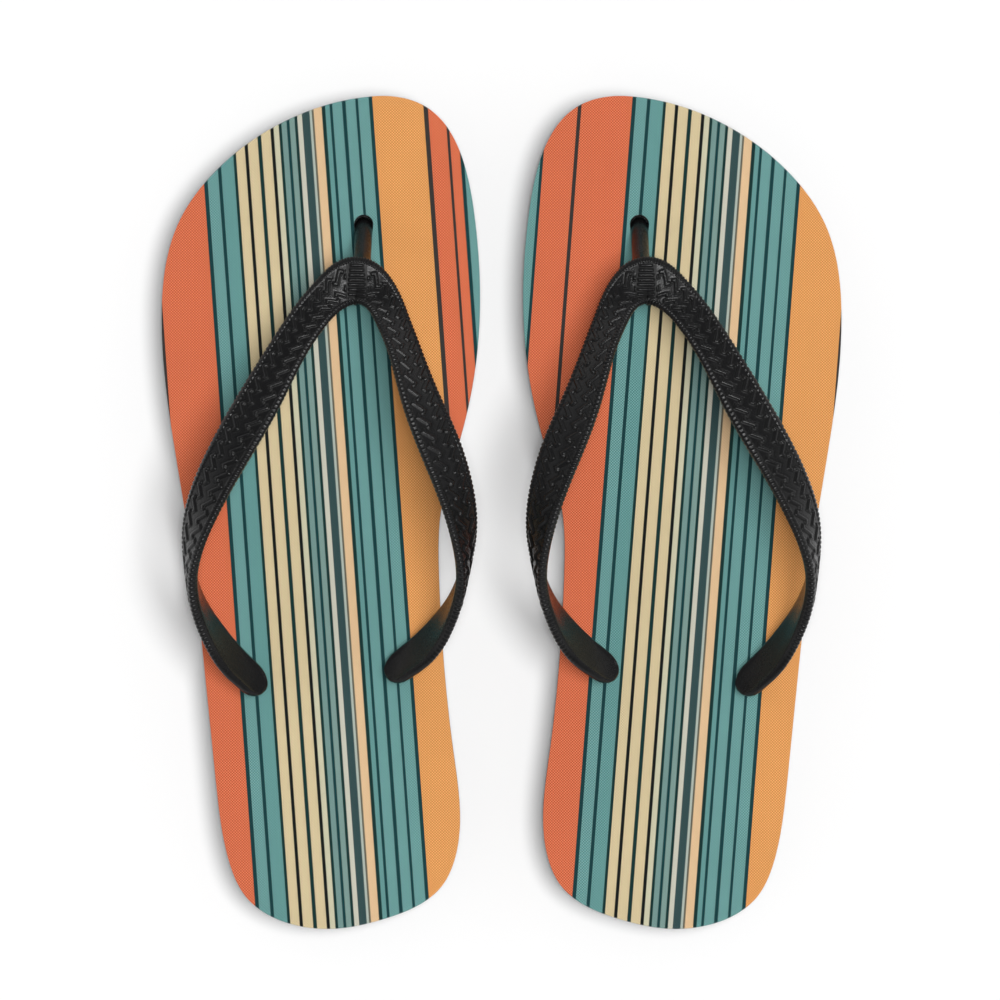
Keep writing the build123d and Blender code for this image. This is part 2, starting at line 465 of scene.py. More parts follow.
def grain_group(name):
    """Fine moulded grain of rubber. Height, and a roughness that varies about the given one."""
    group, given, result = new_group(
        name, [("Scale", 3.0), ("Roughness", 0.5)],
        [("Height", "NodeSocketFloat"), ("Roughness", "NodeSocketFloat")],
    )
    place = place_in_mm(group)
    fine = group.nodes.new("ShaderNodeTexNoise")
    fine.inputs["Detail"].default_value = 4
    group.links.new(place, fine.inputs["Vector"])
    group.links.new(given.outputs["Scale"], fine.inputs["Scale"])
    smudge = calc(group, "SUBTRACT", noise(group, place, 0.09, 3), 0.5)
    rough = calc(group, "MULTIPLY_ADD", smudge, 0.22, given.outputs["Roughness"])
    rough = calc(group, "MULTIPLY_ADD", calc(group, "SUBTRACT", fine.outputs[0], 0.5), 0.12, rough)
    group.links.new(fine.outputs[0], result.inputs["Height"])
    group.links.new(rough, result.inputs["Roughness"])
    return group


# ---------------------------------------------------------------- finishes

def printed_fabric(side, settings):
    """Matt woven polyester with the stripes printed on it."""
    stripes = shared_group("Leaning stripes", stripes_group, settings)
    weave = shared_group("Plain weave", weave_group)
    weave_sheen_and_shade = shared_group("Painted weave sheen and shade", weave_sheen_and_shade_group)
    material, tree, shader = new_material(
        f"{side}_striped_fabric", Roughness=0.86, Sheen_Weight=0.08, Sheen_Roughness=0.6,
        Specular_IOR_Level=0.22,
    )
    print_node = use_group(tree, stripes, Seam=SEAM_AT[side], Lean=SEAM_LEAN[side])
    cloth = use_group(tree, weave, Thread=settings.thread * 1000)
    # Painted sheen on the threads and painted shade between them, laid into the print's colour
    woven = use_group(tree, weave_sheen_and_shade, Contrast=0.37)
    tree.links.new(print_node.outputs["Colour"], woven.inputs["Colour"])
    tree.links.new(cloth.outputs["Shade"], woven.inputs["Shade"])
    mottle = calc(tree, "MULTIPLY_ADD", noise(tree, place_in_mm(tree), 0.05, 4), 0.1, 0.95)
    colour = mix_colour(tree, 1.0, woven.outputs["Colour"], grey_colour(tree, mottle), "MULTIPLY")
    tree.links.new(colour, shader.inputs["Base Color"])
    add_bump(tree, shader, cloth.outputs["Height"], 0.00012, 0.6)
    return material


def black_foam(settings):
    """Closed-cell foam, cut at the sides: matt, with fine open cells and faint knife marks, with
    painted shade where they lie low and painted highlight where they stand high.
    """
    material, tree, shader = new_material("black_foam", Specular_IOR_Level=0.35)
    place = place_in_mm(tree)
    cells = tree.nodes.new("ShaderNodeTexVoronoi")
    cells.inputs["Scale"].default_value = 2.6
    cells.inputs["Randomness"].default_value = 1
    tree.links.new(place, cells.inputs["Vector"])
    pit = calc(tree, "DIVIDE", cells.outputs["Distance"], 0.55, clamp=True)
    marks = noise(tree, place, 0.9, 5, 0.65)
    height = calc(tree, "MULTIPLY_ADD", marks, 0.5, calc(tree, "MULTIPLY", pit, 0.5))
    # Painted shade and highlight: the colour darkens where the bump is low, in the cells' pits and the
    # knife marks' dips, and lightens where it is high
    pit_shade_ramp = tree.nodes.new("ShaderNodeValToRGB")
    for stop, position, strength in zip(pit_shade_ramp.color_ramp.elements, (0.25, 0.8), (0.55, 1.25)):
        stop.position = position
        stop.color = (*(value * strength for value in settings.foam), 1)
    tree.links.new(height, pit_shade_ramp.inputs[0])
    tree.links.new(pit_shade_ramp.outputs[0], shader.inputs["Base Color"])
    rough = calc(tree, "MULTIPLY_ADD", marks, 0.2, 0.68)
    tree.links.new(rough, shader.inputs["Roughness"])
    add_bump(tree, shader, height, 0.00016, 0.7)
    return material


def outsole_rubber(settings):
    """Dense rubber with a fine crossed pattern on the lands of the tread."""
    material, tree, shader = new_material("outsole_rubber", Specular_IOR_Level=0.4)
    place = place_in_mm(tree)
    x, y, z = axes_of(tree, place)
    grain = shared_group("Rubber grain", grain_group)
    rubber = use_group(tree, grain, Scale=2.2, Roughness=0.6)
    rising = calc(tree, "SINE", calc(tree, "MULTIPLY", calc(tree, "ADD", x, y), 3.4))
    falling = calc(tree, "SINE", calc(tree, "MULTIPLY", calc(tree, "SUBTRACT", x, y), 3.4))
    knurl = calc(tree, "MULTIPLY_ADD", calc(tree, "MAXIMUM", rising, falling), 0.5, 0.5)
    on_land = calc(tree, "LESS_THAN", z, 0.25)
    height = calc(tree, "MULTIPLY", calc(tree, "MULTIPLY", knurl, on_land), 0.7)
    height = calc(tree, "MULTIPLY_ADD", rubber.outputs["Height"], 0.3, height)
    # Pale patches from noise, stronger where the tread is raised
    raised = calc(tree, "MULTIPLY_ADD", height, 0.5, 0.4)
    pale_patches = calc(tree, "MULTIPLY", noise(tree, place, 0.12, 4), raised)
    pale = tuple(min(1, value * 2.2) for value in settings.rubber)
    colour = mix_colour(tree, pale_patches, tuple(settings.rubber), pale)
    tree.links.new(colour, shader.inputs["Base Color"])
    tree.links.new(rubber.outputs["Roughness"], shader.inputs["Roughness"])
    add_bump(tree, shader, height, 0.00018, 0.8)
    return material


def strap_rubber(settings):
    """Satin black rubber, with painted shade darkening the hollows of its embossing, which are also
    duller.
    """
    material, tree, shader = new_material("strap_rubber", IOR=1.36, Specular_IOR_Level=0.5)
    attribute = tree.nodes.new("ShaderNodeAttribute")
    attribute.attribute_name = HOLLOW_SHADE
    hollow = attribute.outputs["Fac"]
    grain = shared_group("Rubber grain", grain_group)
    rubber = use_group(tree, grain, Scale=2.6, Roughness=0.25)
    # Painted shade: the rubber darkens in the grooves round the bars, between the ladder's rungs and
    # between the beads
    hollow_shade_colour = tuple(value * 0.12 for value in settings.rubber)
    colour = mix_colour(tree, hollow, tuple(settings.rubber), hollow_shade_colour)
    tree.links.new(colour, shader.inputs["Base Color"])
    rough = calc(tree, "MULTIPLY_ADD", hollow, 0.25, rubber.outputs["Roughness"])
    tree.links.new(rough, shader.inputs["Roughness"])
    add_bump(tree, shader, rubber.outputs["Height"], 0.0001, 0.8)
    return material


# ---------------------------------------------------------------- modelling helpers

def deselect():
    """Leave edit mode and select nothing."""
    if bpy.context.object and bpy.context.object.mode != "OBJECT":
        bpy.ops.object.mode_set(mode="OBJECT")
    bpy.ops.object.select_all(action="DESELECT")


def activate(piece):
    """Select one object alone and make it active."""
    deselect()
    piece.select_set(True)
    bpy.context.view_layer.objects.active = piece


def turn_outwards(piece):
    """Turn the normals of a closed mesh outwards."""
    activate(piece)
    bpy.ops.object.mode_set(mode="EDIT")
    bpy.ops.mesh.select_all(action="SELECT")
    bpy.ops.mesh.normals_make_consistent(inside=False)
    bpy.ops.object.mode_set(mode="OBJECT")


def apply_modifier(piece, kind, **values):
    """Add a modifier, set its values and apply it."""
    activate(piece)
    modifier = piece.modifiers.new(kind.title(), kind)
    for label, value in values.items():
        setattr(modifier, label, value)
    bpy.ops.object.modifier_apply(modifier=modifier.name)


def distance_along(points):
    """Distance of each point from the first one, walked from point to point."""
    return np.concatenate([[0], np.cumsum(np.linalg.norm(np.diff(points, axis=0), axis=1))])


def cut_out(piece, cutter):
    """Subtract one closed mesh from another and delete it."""
    apply_modifier(piece, "BOOLEAN", operation="DIFFERENCE", object=cutter, solver="EXACT")
    bpy.data.objects.remove(cutter)


def outline_of_sole(count=420):
    """Evenly spaced points round the right sole, clear of its holes, read from the frame."""
    found = []
    for end in ("front", "rear"):
        vertices = frame["nodes"]["right_top_sheet_" + end].data.vertices
        found += [v.co.xy for v in vertices if v.co.z > SHEET_TOP - 1e-5]
    middle = Vector((SOLE_MIDDLE_X, 0))
    found.sort(key=lambda p: math.atan2(p.y - middle.y, p.x - middle.x))
    angles = np.array([math.atan2(p.y - middle.y, p.x - middle.x) for p in found])
    reach = np.array([(p - middle).length for p in found])
    rim = []
    for point, angle, distance in zip(found, angles, reach):
        turn = np.abs((angles - angle + math.pi) % (2 * math.pi) - math.pi)
        if distance > reach[turn < 0.05].max() - 12 * MM:
            rim.append(point)
    rim = np.array(rim + rim[:1])
    travelled = distance_along(rim)
    at = np.linspace(0, travelled[-1], count, endpoint=False)
    return np.column_stack([np.interp(at, travelled, rim[:, 0]), np.interp(at, travelled, rim[:, 1])])


def add_slab(name, outline, bottom, top):
    """A flat closed slab with the sole's outline: a filled circle laid on it and extruded."""
    deselect()
    bpy.ops.mesh.primitive_circle_add(vertices=len(outline), radius=0.1, fill_type="NGON")
    slab = bpy.context.object
    slab.name = slab.data.name = name
    for vertex, (x, y) in zip(slab.data.vertices, outline):
        vertex.co = (x, y, bottom)
    bpy.ops.object.mode_set(mode="EDIT")
    bpy.ops.mesh.select_all(action="SELECT")
    bpy.ops.mesh.extrude_region_move(TRANSFORM_OT_translate={"value": (0, 0, top - bottom)})
    turn_outwards(slab)
    return slab


def add_cutter(x, y, radius, bottom, top, stretch=0.0, sides=48):
    """A round cutter, stretched towards the heel into a slot when asked, sizes in metres."""
    deselect()
    bpy.ops.mesh.primitive_cylinder_add(
        vertices=sides, radius=radius, depth=top - bottom, location=(x, y, (bottom + top) / 2)
    )
    cutter = bpy.context.object
    bpy.ops.object.transform_apply(location=True, rotation=True, scale=True)
    for vertex in cutter.data.vertices:
        if stretch and vertex.co.y < y:
            vertex.co.y -= stretch
            vertex.co.x = x + (vertex.co.x - x) * SLOT_NARROWING
    return cutter


def drill_sole(piece, bottom, top):
    """The toe slot and the two side holes, from one height to another."""
    x, y = TOE_HOLE
    stretch = TOE_HOLE_STRETCH * MM
    cut_out(piece, add_cutter(x * MM, y * MM, TOE_HOLE_RADIUS * MM, bottom, top, stretch))
    for x, y in SIDE_STEMS:
        cut_out(piece, add_cutter(x * MM, y * MM, SIDE_HOLE_RADIUS * MM, bottom, top))


def soften_edges(piece, width, angle=40, segments=2):
    """Round the sharp edges a little and smooth the shading of the rest."""
    apply_modifier(piece, "BEVEL", width=width, segments=segments, limit_method="ANGLE",
                   angle_limit=math.radians(angle), use_clamp_overlap=True)
    activate(piece)
    bpy.ops.object.shade_smooth_by_angle(angle=math.radians(angle))


def cut_across(piece):
    """Cross cuts where the sole bends, so that it can curve there."""
    activate(piece)
    bpy.ops.object.mode_set(mode="EDIT")
    for step in range(FLEX_CUTS + 1):
        bpy.ops.mesh.select_all(action="SELECT")
        y = FLEX_LINE - FLEX_LENGTH * step / FLEX_CUTS
        bpy.ops.mesh.bisect(plane_co=(0, y, 0), plane_no=(0, 1, 0))
    bpy.ops.object.mode_set(mode="OBJECT")


def mirrored(piece, name):
    """A copy for the left shoe, mirrored about the middle of the pair."""
    activate(piece)
    bpy.ops.object.duplicate()
    copy = bpy.context.object
    copy.name = copy.data.name = name
    copy.data.transform(Matrix.Scale(-1, 4, (1, 0, 0)))
    copy.data.flip_normals()
    copy.data.update()
    return copy


def set_material(piece, material):
    """Give a piece one material all over."""
    piece.data.materials.clear()
    piece.data.materials.append(material)


def bend_with_sole(piece):
    """Bake a piece's placement into its mesh."""
    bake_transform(piece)


def both_shoes(piece, base):
    """Name the right piece, make its left copy and return them by side."""
    piece.name = piece.data.name = "right_" + base
    return {"right": piece, "left": mirrored(piece, "left_" + base)}


# ---------------------------------------------------------------- strap band

def ramp(value, start, length):
    """0 at the start, 1 from `length` on; a negative length counts downwards."""
    return np.clip((value - start) / length, 0, 1)


def round_end(from_end, length, least):
    """Height of a quarter circle, from the end on; its square is `least` or more."""
    return np.sqrt(np.clip(1 - (1 - np.minimum(from_end / length, 1)) ** 2, least, 1))


def unit(vectors):
    """The vectors scaled to length 1."""
    return vectors / np.linalg.norm(vectors, axis=1)[:, None]


def crowding(distance, share, reach):
    """A share that is full at the junction and fades out over its reach."""
    return share * np.exp(-(distance / reach) ** 2)


def running_total(rate, at):
    """What a rate adds up to from the first place to each place."""
    return np.concatenate([[0], np.cumsum((rate[1:] + rate[:-1]) / 2 * np.diff(at))])


def smooth_through(knots, values, at):
    """Natural cubic spline through values at the knots, read at the given places."""
    count, gap = len(knots), np.diff(knots)
    system, right = np.eye(count), np.zeros_like(values)
    for i in range(1, count - 1):
        system[i, i - 1:i + 2] = gap[i - 1], 2 * (gap[i - 1] + gap[i]), gap[i]
        right[i] = 6 * ((values[i + 1] - values[i]) / gap[i] - (values[i] - values[i - 1]) / gap[i - 1])
    bend = np.linalg.solve(system, right)
    span = np.clip(np.searchsorted(knots, at) - 1, 0, count - 2)
    length, part = gap[span][:, None], (at - knots[span])[:, None]
    rest = length - part
    return (
        (bend[span] * rest ** 3 + bend[span + 1] * part ** 3) / (6 * length)
        + (values[span] / length - bend[span] * length / 6) * rest
        + (values[span + 1] / length - bend[span + 1] * length / 6) * part
    )


def band_template():
    """One section of the band as unit values: flat part and corner part across, and the same up."""
    points = [(step / 21 - 1, 0, 1, 1) for step in range(43)]
    for turn in (72, 54, 36, 18, 0, -30, -60):
        turn = math.radians(turn)
        points.append((1, math.cos(turn), math.copysign(1, turn + 0.01), math.sin(turn)))
    points += [(place, 0, -1, -1) for place in (1, 0.96, 0.92, 0.88, 0.84, 0.7, 0.4)]
    points += [(-place, 0, -1, -1) for place in (0, 0.4, 0.7, 0.84, 0.88, 0.92, 0.96, 1)]
    for turn in (-120, -150, 180, 162, 144, 126, 108):
        turn = math.radians(turn)
        points.append((-1, math.cos(turn), math.copysign(1, turn), math.sin(turn)))
    return np.array(points).T


def box_distance(x, y, box):
    """Distance outside an upright rectangle (low x, high x, low y, high y), negative inside it."""
    from_x = np.abs(x - (box[0] + box[1]) / 2) - (box[1] - box[0]) / 2
    from_y = np.abs(y - (box[2] + box[3]) / 2) - (box[3] - box[2]) / 2
    return np.maximum(from_x, from_y)


def hooked_bars(across, along, pitch):
    """Signed distance from slanting bars with a hook at each end, mirrored about the band's middle."""
    out = np.abs(across)
    slant = np.mod(np.abs(along) + np.where(across > 0, pitch / 2, 0) + out, pitch)
    over, length = slant / math.sqrt(2), (2 * out - slant) / math.sqrt(2)
    return np.minimum.reduce([box_distance(length, over, box) for box in BAR_BOXES])


def band_rows(length, middle, step):
    """Places of the mesh rows along the band, closer together round the tight turn of the junction."""
    fine = np.linspace(0, length, 4000)
    count = running_total((1 + crowding(fine - middle, *ROW_CROWDING)) / step, fine)
    rows = int(count[-1])
    return np.interp(np.arange(rows + 1) / rows * count[-1], count, fine)


def bead_count(edge, at, middle, pitch):
    """How many beads lie between the junction and each row of one edge; they crowd at the junction."""
    walked = distance_along(edge)
    walked -= np.interp(middle, at, walked)
    count = running_total(1 / (pitch * (1 - crowding(walked, *BEAD_CROWDING))), walked)
    return count - np.interp(middle, at, count)


def tube_faces(rows, columns):
    """Quads of a closed tube of rows by columns points, with both ends capped."""
    faces = []
    for row in range(rows - 1):
        here, there = row * columns, (row + 1) * columns
        for column in range(columns):
            after = (column + 1) % columns
            faces.append((here + column, here + after, there + after, there + column))
    faces.append(tuple(range(columns))[::-1])
    faces.append(tuple((rows - 1) * columns + column for column in range(columns)))
    return faces


def new_piece(name, points, faces):
    """A mesh object from points in metres, with its normals turned outwards."""
    mesh = bpy.data.meshes.new(name)
    mesh.from_pydata([tuple(p) for p in points], [], faces)
    piece = bpy.data.objects.new(name, mesh)
    bpy.context.collection.objects.link(piece)
    turn_outwards(piece)
    bpy.ops.object.shade_smooth()
    return piece


def write_attribute(piece, name, values):
    """Store one number for each point, for the finish to read."""
    attribute = piece.data.attributes.new(name, "FLOAT", "POINT")
    attribute.data.foreach_set("value", np.asarray(values, dtype=np.float32).ravel())


def band_line(step):
    """The band's rows: their places along it, the junction's, their middles, rolls and widths."""
    stations = np.array(INNER_ARM + JUNCTION + OUTER_ARM, dtype=float)
    stations[:len(INNER_ARM), 3] *= -1
    knots = distance_along(stations[:, :3])
    middle = knots[len(INNER_ARM)]
    at = band_rows(knots[-1], middle, step)
    path = smooth_through(knots, stations, at)
    return at, middle, path[:, :3], np.radians(np.abs(path[:, 3:4])), path[:, 4]


def band_axes(centre, roll):
    """Directions across the band and out of its outer face, for each row."""
    along = unit(np.gradient(centre, axis=0))
    front = unit(np.cross(np.array([0, 0, 1.0]), along))
    lift = np.cross(along, front)
    across = front * np.cos(roll) - lift * np.sin(roll)
    normal = lift * np.cos(roll) + front * np.sin(roll)
    return across, normal


def band_section(settings, width, from_end):
    """Plain rows of the band: across, up, as a share of the half width, and the half width."""
    tip = round_end(from_end, TIP_LENGTH, 0.0004)
    half_width = (width / 2 * tip)[:, None]
    blunt = round_end(from_end, BLUNT_LENGTH, 0.0009)
    thinning = 1 - THINNING * np.clip(1 - from_end / THINNING_LENGTH, 0, 1)
    half_thick = (settings.thickness * 500 * blunt * thinning)[:, None]
    corner = np.minimum(np.minimum(half_width, half_thick) * 0.95, settings.edge_round * 1000)

    flat_x, corner_x, flat_y, corner_y = band_template()
    x = flat_x * (half_width - corner) + corner_x * corner
    y = flat_y * (half_thick - corner) + corner_y * corner
    share = x / half_width
    taper = settings.edge_taper * ramp(np.abs(share), 0.5, 0.45) ** 2
    taper = taper * ramp(from_end, *TAPER_FADE)[:, None]
    y = half_thick - (half_thick - y) * (1 - taper)
    on_top = (corner_y > 0.99) & (flat_y > 0)
    y = y + settings.crown * 1000 * (1 - share ** 2) * on_top - SECTION_DROP
    beneath = (corner_y < -0.99) & (flat_y < 0)
    hollowed = ramp(np.abs(share), 0.8, -0.12) * (1.3 - share ** 2)
    y = y + settings.dish * 1000 * hollowed * beneath * tip[:, None]
    return x, y, share, half_width


def edge_beads(edges, at, middle, pitch, share):
    """The beads along both edges: 0 between two beads, 1 on top of one."""
    first, second = [bead_count(edge, at, middle, pitch)[:, None] for edge in edges]
    return np.sqrt(np.abs(np.sin(np.pi * np.where(share < 0, first, second))))


def bars_on_band(share, at, middle, pitch):
    """Signed distance from the hooked bars, which lie closer together near the junction."""
    signed = at - middle
    pattern = running_total(1 + crowding(signed, *BAR_CROWDING), signed)
    pattern = (pattern - np.interp(middle, at, pattern))[:, None]
    return hooked_bars(share * BAR_FIELD, pattern, pitch)


def ladder(points, signed):
    """The ladder's rungs at the junction, from 0 to 1, and which points lie in its room."""
    beside = np.abs(points[..., 0] - JUNCTION[0][0])
    ahead = points[..., 1] - JUNCTION[0][1]
    rungs = np.sin(2 * np.pi * ahead / RUNG_PITCH) * 0.9 + 0.5
    reach = RUNG_REACH - 0.12 * np.clip(ahead, 0, 8)
    rungs = np.clip(rungs, 0, 1) * ramp(beside, reach, -0.4)
    inside = (beside < LADDER_HALF_WIDTH) & (np.abs(signed)[:, None] < LADDER_HALF_LENGTH)
    return rungs, inside


def embossing(settings, share, from_end, bead, distance, rungs, inside):
    """How far each point is raised, in millimetres, and how deep in a hollow it lies, from 0 to 1,
    which sets the painted shade and the duller rubber there.
    """
    flat_y, corner_y = band_template()[2:]
    on_top = (corner_y > 0.99) & (flat_y > 0)
    field = ramp(np.abs(share), FIELD_EDGE, -0.03) * on_top
    rim = ramp(np.abs(share), RIM_EDGE, 0.05) * np.clip(corner_y * 2 + 1.6, 0, 1)
    bars = np.clip(0.5 - distance / BAR_SLOPE, 0, 1)
    outline = np.clip(1.3 - np.abs(distance - GROOVE_DISTANCE) / GROOVE_HALF_WIDTH, 0, 1)
    face = np.where(inside, rungs, bars) * field
    groove = np.where(inside, 0, outline * GROOVE_DEPTH) * field
    lifted = (face - groove) * settings.bar_height + rim * (bead - 0.25) * settings.bead_height
    fade = ramp(from_end, *EMBOSSING_FADE)[:, None]
    # Where the painted shade goes: the grooves round the bars, between the rungs and between the beads
    hollow = fade * (np.where(inside, 1 - rungs, outline) * field + rim * (1 - bead))
    return fade * lifted * 1000, np.clip(hollow, 0, 1)


def strap_band(settings):
    """The band of the right strap, from its inner to its outer anchor, embossed on its outer face."""
    at, middle, centre, roll, width = band_line(settings.step * 1000)
    across, normal = band_axes(centre, roll)
    from_end = np.minimum(at, at[-1] - at)
    x, y, share, half_width = band_section(settings, width, from_end)
    points = centre[:, None, :] + x[..., None] * across[:, None, :] + y[..., None] * normal[:, None, :]

    edges = [centre + side * half_width * across for side in (-1, 1)]
    bead = edge_beads(edges, at, middle, settings.bead_pitch * 1000, share)
    distance = bars_on_band(share, at, middle, settings.bar_pitch * 1000)
    rungs, inside = ladder(points, at - middle)
    rise, hollow = embossing(settings, share, from_end, bead, distance, rungs, inside)
    corner_x, corner_y = band_template()[1::2]
    outward = corner_x[:, None] * across[:, None, :] + corner_y[:, None] * normal[:, None, :]
    points = points + rise[..., None] * outward

    band = new_piece("right_band", points.reshape(-1, 3) * MM, tube_faces(*x.shape))
    write_attribute(band, HOLLOW_SHADE, hollow)
    return band


def above(hole, stations):
    """Stations that are counted from a hole, moved to where that hole is."""
    return [(x + hole[0], y + hole[1], z, radius) for x, y, z, radius in stations]


def add_tube(name, stations, sides):
    """A round tube through stations of (x, y, z, radius) in millimetres, closed at both ends."""
    stations = np.array(stations, dtype=float)
    knots = distance_along(stations[:, :3])
    at = np.linspace(0, knots[-1], max(8, int(knots[-1] / 0.5)))
    path = smooth_through(knots, stations, at)
    along = unit(np.gradient(path[:, :3], axis=0))
    right = unit(np.cross(np.array([0, 1.0, 0]), along))
    ahead = np.cross(along, right)
    turn = np.linspace(0, 2 * math.pi, sides, endpoint=False)[None, :, None]
    ring = np.cos(turn) * right[:, None, :] + np.sin(turn) * ahead[:, None, :]
    points = path[:, None, :3] + ring * path[:, None, 3:4]
    tube = new_piece(name, points.reshape(-1, 3) * MM, tube_faces(len(at), sides))
    write_attribute(tube, HOLLOW_SHADE, np.zeros(len(tube.data.vertices)))
    return tube


def add_plug(name, x, y, sides):
    """A plug head under the sole: a domed disc with a raised ring, turned from its profile."""
    points = []
    for radius, height in PLUG_PROFILE:
        for step in range(sides):
            turn = 2 * math.pi * step / sides
            points.append((x + radius * math.cos(turn), y + radius * math.sin(turn), height))
    plug = new_piece(name, np.array(points) * MM, tube_faces(len(PLUG_PROFILE), sides))
    write_attribute(plug, HOLLOW_SHADE, np.zeros(len(plug.data.vertices)))
    activate(plug)
    bpy.ops.object.shade_smooth_by_angle(angle=math.radians(35))
    return plug


def join_parts(parts):
    """Make one object of several."""
    deselect()
    for part in parts:
        part.select_set(True)
    bpy.context.view_layer.objects.active = parts[0]
    bpy.ops.object.join()
    return parts[0]


def sole_box():
    """Lowest and highest corner of the right top sheet, both halves."""
    front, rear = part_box("right_top_sheet_front"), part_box("right_top_sheet_rear")
    return (
        [min(a, b) for a, b in zip(front[0], rear[0])],
        [max(a, b) for a, b in zip(front[1], rear[1])],
    )


# ---------------------------------------------------------------- operators

class FLIPFLOP_OT_printed_sheets(bpy.types.Operator):
    """Add the striped fabric sheets that cover the footbeds"""
    bl_idname = "flipflop.printed_sheets"
    bl_label = "Printed Sheets"

    def execute(self, context):
        settings = context.scene.flipflop_print
        sheet = add_slab("sheet", outline_of_sole(), SHEET_BOTTOM, SHEET_TOP)
        drill_sole(sheet, SHEET_BOTTOM - MM, SHEET_TOP + MM)
        soften_edges(sheet, settings.edge_round)
        cut_across(sheet)
        width, length, height = [high - low for low, high in zip(*sole_box())]
        for side, piece in both_shoes(sheet, "printed_sheet").items():
            set_material(piece, printed_fabric(side, settings))
            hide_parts(side + "_top_sheet_front", side + "_top_sheet_rear")
            bend_with_sole(piece)
        return {"FINISHED"}


class FLIPFLOP_OT_footbeds(bpy.types.Operator):
    """Add the black foam footbeds"""
    bl_idname = "flipflop.footbeds"
    bl_label = "Foam Footbeds"

    def execute(self, context):
        settings = context.scene.flipflop_sole
        footbed = add_slab("footbed", outline_of_sole(), FOOTBED_BOTTOM, SHEET_BOTTOM)
        drill_sole(footbed, FOOTBED_BOTTOM - MM, SHEET_BOTTOM + MM)
        soften_edges(footbed, settings.foam_edge)
        cut_across(footbed)
        material = black_foam(settings)
        for side, piece in both_shoes(footbed, "foam_footbed").items():
            set_material(piece, material)
            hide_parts(side + "_footbed_front", side + "_footbed_rear")
            bend_with_sole(piece)
        return {"FINISHED"}


class FLIPFLOP_OT_outsoles(bpy.types.Operator):
    """Add the rubber outsoles with their wavy tread and plug recesses"""
    bl_idname = "flipflop.outsoles"
    bl_label = "Rubber Outsoles"

    def execute(self, context):
        settings = context.scene.flipflop_sole
        outsole = add_slab("outsole", outline_of_sole(), OUTSOLE_BOTTOM, FOOTBED_BOTTOM)
        cut_out(outsole, self.tread_cutter(settings))
        for x, y in (TOE_HOLE, *SIDE_STEMS):
            recess = add_cutter(x * MM, y * MM, RECESS_RADIUS * MM, -MM, RECESS_DEPTH * MM, sides=72)
            cut_out(outsole, recess)
        drill_sole(outsole, OUTSOLE_BOTTOM - MM, FOOTBED_BOTTOM + MM)
        soften_edges(outsole, settings.rubber_edge)
        cut_across(outsole)
        material = outsole_rubber(settings)
        for side, piece in both_shoes(outsole, "tread_outsole").items():
            set_material(piece, material)
            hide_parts(side + "_outsole_front", side + "_outsole_rear")
            bend_with_sole(piece)
        return {"FINISHED"}

    def tread_cutter(self, settings):
        """One mesh of wavy bars, one bar for each groove across the sole."""
        low, high = sole_box()
        across = np.linspace(low[0] - 2 * MM, high[0] + 2 * MM, 90)
        wave = settings.wave_height * np.sin(2 * math.pi * across / settings.wave_length)
        points, faces = [], []
        for number in range(-30, 30):
            y = FLEX_LINE + settings.groove_pitch * (number + 0.5)
            if not low[1] + 4 * MM < y < high[1] - 4 * MM:
                continue
            first = len(points)
            half, top = settings.groove_width / 2, settings.groove_depth
            section = ((-half, -MM), (half, -MM), (half * 0.7, top), (-half * 0.7, top))
            for x, shift in zip(across, wave):
                points += [(x, y + shift + aside, z) for aside, z in section]
            faces += [tuple(first + i for i in face) for face in tube_faces(len(across), len(section))]
        return new_piece("tread_cutter", points, faces)


class FLIPFLOP_OT_straps(bpy.types.Operator):
    """Add the moulded rubber straps with their toe posts, side stems and plug heads"""
    bl_idname = "flipflop.straps"
    bl_label = "Rubber Straps"

    def execute(self, context):
        settings = context.scene.flipflop_strap
        sides = settings.post_sides
        parts = [strap_band(settings), add_tube("toe_post", above(TOE_HOLE, TOE_POST), sides)]
        for hole, stem_top in zip(SIDE_STEMS, SIDE_STEM_TOPS):
            parts.append(add_tube("side_stem", above(hole, [*SIDE_STEM, stem_top]), sides))
        for x, y in (TOE_HOLE, *SIDE_STEMS):
            parts.append(add_plug("plug", x, y, settings.plug_sides))
        strap = join_parts(parts)
        material = strap_rubber(settings)
        for side, piece in both_shoes(strap, "moulded_strap").items():
            set_material(piece, material)
            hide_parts(side + "_strap")
            bend_with_sole(piece)
        return {"FINISHED"}


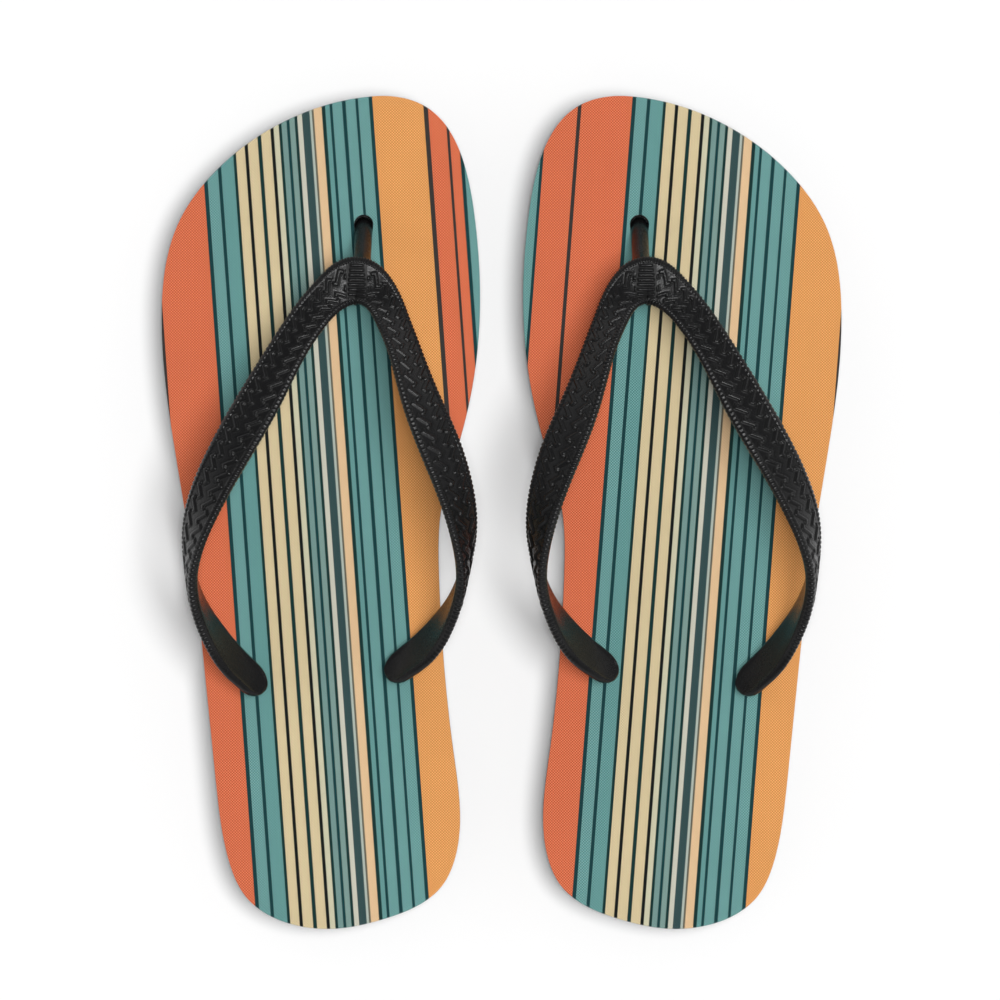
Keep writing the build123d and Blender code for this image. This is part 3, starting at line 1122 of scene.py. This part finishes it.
class FLIPFLOP_OT_studio(bpy.types.Operator):
    """Set up the pale floor, the soft lights and the camera above the pair"""
    bl_idname = "flipflop.studio"
    bl_label = "Studio"

    def execute(self, context):
        settings = context.scene.flipflop_studio
        self.add_floor()
        self.add_sun("side_light", 14, 28, settings.side_light)
        self.add_sun("top_light", 0, 8, settings.top_light)
        self.add_sky(context, settings)
        context.scene.view_settings.view_transform = "Standard"
        self.add_camera(context, settings)
        return {"FINISHED"}

    def add_floor(self):
        """A plain pale floor under the soles."""
        deselect()
        bpy.ops.mesh.primitive_plane_add(size=6, location=(0, 0, 0))
        floor = bpy.context.object
        floor.name = floor.data.name = "studio_floor"
        material, tree, shader = new_material("studio_floor", Roughness=0.9, Specular_IOR_Level=0.1)
        shader.inputs["Base Color"].default_value = (0.98, 0.98, 0.98, 1)
        floor.data.materials.append(material)

    def add_sun(self, name, lean, spread, strength):
        """A broad distant light that leans over to the right by some degrees."""
        light = bpy.data.lights.new(name, "SUN")
        light.angle = math.radians(spread)
        light.energy = strength
        lamp = bpy.data.objects.new(name, light)
        lamp.rotation_euler = (0, math.radians(lean), 0)
        bpy.context.collection.objects.link(lamp)

    def add_sky(self, context, settings):
        """A white surround that is brighter low down; the part that shows is pale and even."""
        world = bpy.data.worlds.new("studio")
        world.use_nodes = True
        tree = world.node_tree
        background = tree.nodes["Background"]
        background.inputs["Color"].default_value = (1, 1, 1, 1)
        direction = tree.nodes.new("ShaderNodeTexCoord").outputs["Generated"]
        split = tree.nodes.new("ShaderNodeSeparateXYZ")
        tree.links.new(direction, split.inputs[0])
        low = calc(tree, "DIVIDE", calc(tree, "SUBTRACT", 0.52, split.outputs[2]), 0.14, clamp=True)
        glow = calc(tree, "MULTIPLY_ADD", low, settings.sky * 1.8, settings.sky * 0.42)
        seen = tree.nodes.new("ShaderNodeLightPath").outputs["Is Camera Ray"]
        strength = calc(tree, "MULTIPLY_ADD", seen, calc(tree, "SUBTRACT", 0.92, glow), glow)
        tree.links.new(strength, background.inputs["Strength"])
        context.scene.world = world

    def add_camera(self, context, settings):
        """A long lens straight above the pair."""
        camera = bpy.data.cameras.new("camera")
        camera.lens = settings.lens
        camera.sensor_width = 36
        camera.clip_end = 50
        holder = bpy.data.objects.new("camera", camera)
        distance = settings.field * settings.lens / camera.sensor_width
        holder.location = (*CAMERA_PLACE, SHEET_TOP + distance)
        context.collection.objects.link(holder)
        context.scene.camera = holder


class FLIPFLOP_PT_panel(bpy.types.Panel):
    """Buttons for each group of pieces"""
    bl_idname = "FLIPFLOP_PT_panel"
    bl_label = "Flip Flops"
    bl_space_type = "VIEW_3D"
    bl_region_type = "UI"
    bl_category = "Flip Flops"

    def draw(self, context):
        for operator in OPERATORS:
            self.layout.operator(operator.bl_idname)


OPERATORS = (
    FLIPFLOP_OT_studio, FLIPFLOP_OT_printed_sheets, FLIPFLOP_OT_footbeds, FLIPFLOP_OT_outsoles,
    FLIPFLOP_OT_straps,
)
SETTINGS = {
    "flipflop_print": PrintSettings, "flipflop_sole": SoleSettings,
    "flipflop_strap": StrapSettings, "flipflop_studio": StudioSettings,
}


def register():
    """Make the settings, operators and panel known to Blender."""
    for group in SETTINGS.values():
        bpy.utils.register_class(group)
    for operator in OPERATORS:
        bpy.utils.register_class(operator)
    bpy.utils.register_class(FLIPFLOP_PT_panel)
    for label, group in SETTINGS.items():
        setattr(bpy.types.Scene, label, PointerProperty(type=group))


def unregister():
    """Take back everything that register did."""
    for label in SETTINGS:
        delattr(bpy.types.Scene, label)
    bpy.utils.unregister_class(FLIPFLOP_PT_panel)
    for group in (*OPERATORS, *SETTINGS.values()):
        bpy.utils.unregister_class(group)


def main():
    """Build the whole scene."""
    register()
    bpy.ops.flipflop.studio()
    bpy.ops.flipflop.printed_sheets()
    bpy.ops.flipflop.footbeds()
    bpy.ops.flipflop.outsoles()
    bpy.ops.flipflop.straps()


if __name__ == "__main__":
    main()
